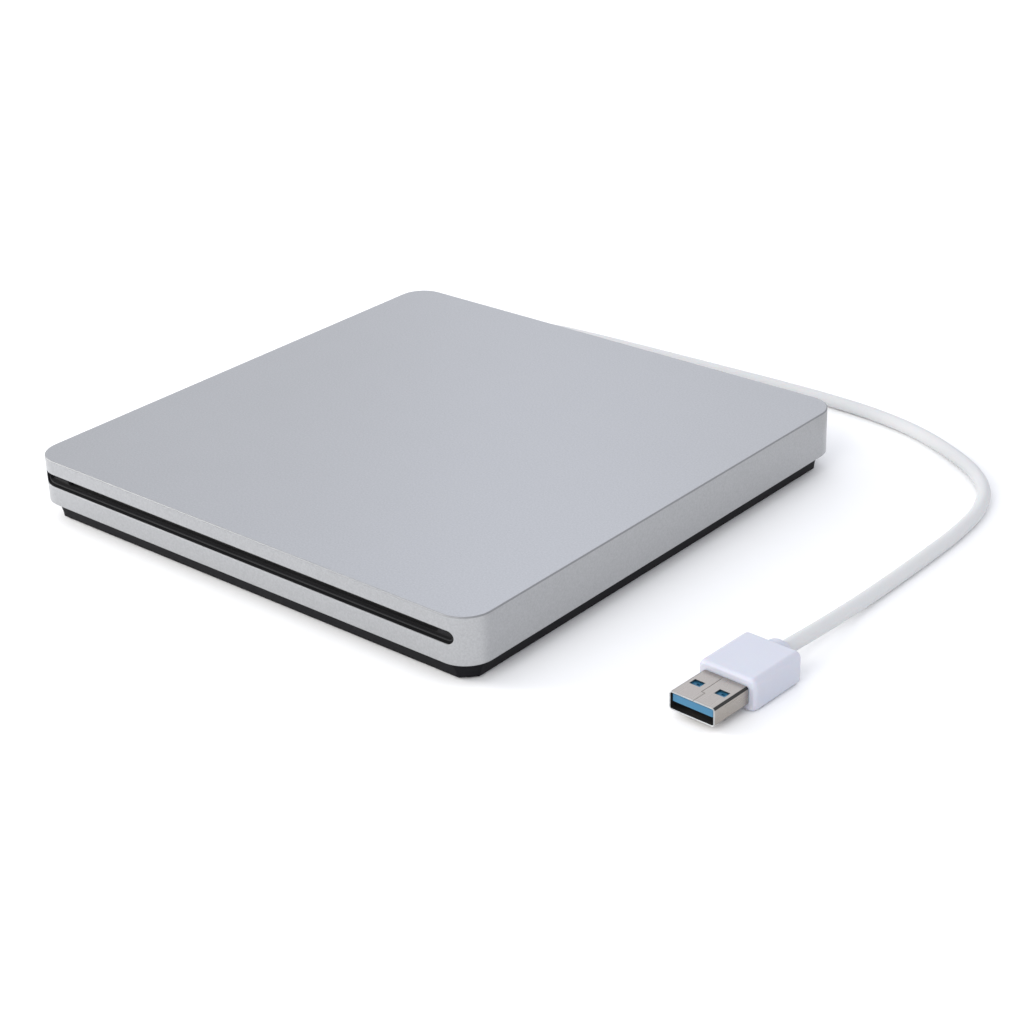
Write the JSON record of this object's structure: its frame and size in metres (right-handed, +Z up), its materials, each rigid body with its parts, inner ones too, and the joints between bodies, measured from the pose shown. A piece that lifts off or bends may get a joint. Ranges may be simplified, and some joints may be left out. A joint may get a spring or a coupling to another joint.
{
  "type": "external optical drive",
  "caption": "Slim square slot-loading optical drive: silver shell on a black tapered base, loading mechanism inside, captive white cable with a USB type A plug.",
  "frame": {"origin": "on the table, under the middle of the square housing", "axes": "+Z up, disc slot in the -Y wall, cable leaves the +Y wall near its -X end, plug lies on the +X side"},
  "size_m": [0.1991, 0.1771, 0.0172],
  "materials": {
    "silver_shell": "fine bead-blasted satin silver",
    "black_base": "fine matt grain",
    "liner_black": "satin moulded black",
    "felt": "short black felt",
    "rubber": "matt",
    "white_mould": "satin white moulding",
    "cable_jacket": "smooth white jacket",
    "plug_nickel": "nickel plate",
    "blue_insulator": "satin blue moulding",
    "sheet_steel": "zinc plated sheet",
    "bright_steel": "polished steel",
    "dark_plastic": "glass filled black moulding",
    "natural_plastic": "natural acetal",
    "board_green": "green solder mask",
    "chip_black": "black epoxy package",
    "lens_glass": "coated clear moulding"
  },
  "bodies": {
    "housing": {"top_shell": "silver_shell", "shell_front_sill": "silver_shell", "base_tray": "black_base", "foot_front_left": "rubber", "foot_front_right": "rubber", "foot_rear_left": "rubber", "foot_rear_right": "rubber", "case_screw_front_left": "bright_steel", "case_screw_front_right": "bright_steel", "case_screw_rear_left": "bright_steel", "case_screw_rear_right": "bright_steel", "slot_lip_upper": "liner_black", "slot_lip_lower": "liner_black", "felt_strip_upper": "felt", "felt_strip_lower": "felt", "cable_boot": "white_mould", "usb_cable": "cable_jacket", "plug_overmould": "white_mould", "plug_metal_shell": "plug_nickel", "plug_tongue": "blue_insulator", "drive_chassis": "sheet_steel", "drive_top_cover": "sheet_steel", "traverse_pivot_shaft": "bright_steel", "bracket_shaft": "bright_steel", "loading_gearmotor": "sheet_steel", "eject_arm_rivet": "bright_steel", "guide_arm_left_rivet": "bright_steel", "guide_arm_right_rivet": "bright_steel", "main_board": "board_green", "controller_chip": "chip_black", "motor_driver_chip": "chip_black", "bridge_board": "board_green", "bridge_chip": "chip_black", "drive_connector": "chip_black"},
    "traverse": {"traverse_frame": "sheet_steel", "traverse_damper_1": "rubber", "traverse_damper_2": "rubber", "traverse_damper_3": "rubber", "traverse_damper_4": "rubber", "spindle_motor": "sheet_steel", "guide_rod_main": "bright_steel", "guide_rod_side": "bright_steel", "feed_motor": "sheet_steel"},
    "turntable": {"turntable": "dark_plastic"},
    "sled": {"pickup_sled": "dark_plastic"},
    "lens": {"pickup_lens": "lens_glass"},
    "lead_screw": {"lead_screw": "bright_steel"},
    "cam_slider": {"cam_slider": "natural_plastic"},
    "roller_bracket": {"roller_bracket": "sheet_steel"},
    "roller": {"loading_roller": "rubber", "roller_shaft": "bright_steel", "roller_gear": "natural_plastic"},
    "idler_gear": {"idler_gear": "natural_plastic"},
    "pivot_gear": {"pivot_gear": "natural_plastic"},
    "transfer_gear": {"transfer_gear": "natural_plastic"},
    "motor_pinion": {"motor_pinion": "natural_plastic"},
    "eject_arm": {"eject_arm": "dark_plastic"},
    "guide_arm_left": {"guide_arm_left": "dark_plastic"},
    "guide_arm_right": {"guide_arm_right": "dark_plastic"}
  },
  "joints": [
    {"name": "traverse_lift", "type": "hinge", "parent": "housing", "child": "traverse", "pos_m": [0.0495, 0.0465, 0.0083], "axis": [-0.7071, 0.7071, 0], "range_deg": [0, 1.88]},
    {"name": "turntable_spin", "type": "hinge", "parent": "traverse", "child": "turntable", "pos_m": [-0.00001, -0.00301, 0.0077], "axis": [-0.0232, -0.0232, 0.9995], "continuous": true},
    {"name": "sled_travel", "type": "slide", "parent": "traverse", "child": "sled", "axis": [0.7067, 0.7067, 0.0329], "range_m": [0, 0.034]},
    {"name": "lens_focus", "type": "slide", "parent": "sled", "child": "lens", "axis": [-0.0232, -0.0232, 0.9995], "range_m": [-0.0004, 0.0004], "stiffness_N_per_m": 60},
    {"name": "lead_screw_turn", "type": "hinge", "parent": "traverse", "child": "lead_screw", "pos_m": [0.01232, 0.02714, 0.00699], "axis": [0.7067, 0.7067, 0.0329], "continuous": true},
    {"name": "cam_travel", "type": "slide", "parent": "housing", "child": "cam_slider", "axis": [0.7071, -0.7071, 0], "range_m": [0, 0.0081]},
    {"name": "bracket_swing", "type": "hinge", "parent": "housing", "child": "roller_bracket", "pos_m": [0, -0.04691, 0.0071], "axis": [1, 0, 0], "range_deg": [0, 4], "stiffness_Nm_per_rad": 0.06, "springref_deg": -5.73},
    {"name": "roller_turn", "type": "hinge", "parent": "roller_bracket", "child": "roller", "pos_m": [0, -0.058, 0.0084], "axis": [1, 0, 0], "continuous": true},
    {"name": "idler_turn", "type": "hinge", "parent": "roller_bracket", "child": "idler_gear", "pos_m": [0.0572, -0.05291, 0.0071], "axis": [1, 0, 0], "continuous": true},
    {"name": "pivot_gear_turn", "type": "hinge", "parent": "housing", "child": "pivot_gear", "pos_m": [0.0572, -0.04691, 0.0071], "axis": [1, 0, 0], "continuous": true},
    {"name": "transfer_turn", "type": "hinge", "parent": "housing", "child": "transfer_gear", "pos_m": [0.0572, -0.04066, 0.0071], "axis": [1, 0, 0], "continuous": true},
    {"name": "pinion_turn", "type": "hinge", "parent": "housing", "child": "motor_pinion", "pos_m": [0.0572, -0.03541, 0.0071], "axis": [1, 0, 0], "continuous": true},
    {"name": "eject_swing", "type": "hinge", "parent": "housing", "child": "eject_arm", "pos_m": [-0.05, 0.052, 0.0135], "axis": [0, 0, 1], "range_deg": [0, 35], "stiffness_Nm_per_rad": 0.01},
    {"name": "guide_left_swing", "type": "hinge", "parent": "housing", "child": "guide_arm_left", "pos_m": [-0.056, 0.043, 0.0135], "axis": [0, 0, -1], "range_deg": [0, 22], "stiffness_Nm_per_rad": 0.01},
    {"name": "guide_right_swing", "type": "hinge", "parent": "housing", "child": "guide_arm_right", "pos_m": [0.053, 0.053, 0.0135], "axis": [0, 0, 1], "range_deg": [0, 20], "stiffness_Nm_per_rad": 0.01}
  ],
  "couplings": [
    {"joint": "cam_travel", "follows": "traverse_lift", "m_per_rad": 0.24343},
    {"joint": "lead_screw_turn", "follows": "sled_travel", "rad_per_m": 2094.4},
    {"joint": "idler_turn", "follows": "roller_turn", "ratio": -0.75},
    {"joint": "pivot_gear_turn", "follows": "roller_turn", "ratio": 0.75},
    {"joint": "transfer_turn", "follows": "roller_turn", "ratio": -0.69231},
    {"joint": "pinion_turn", "follows": "roller_turn", "ratio": 1.125}
  ]
}
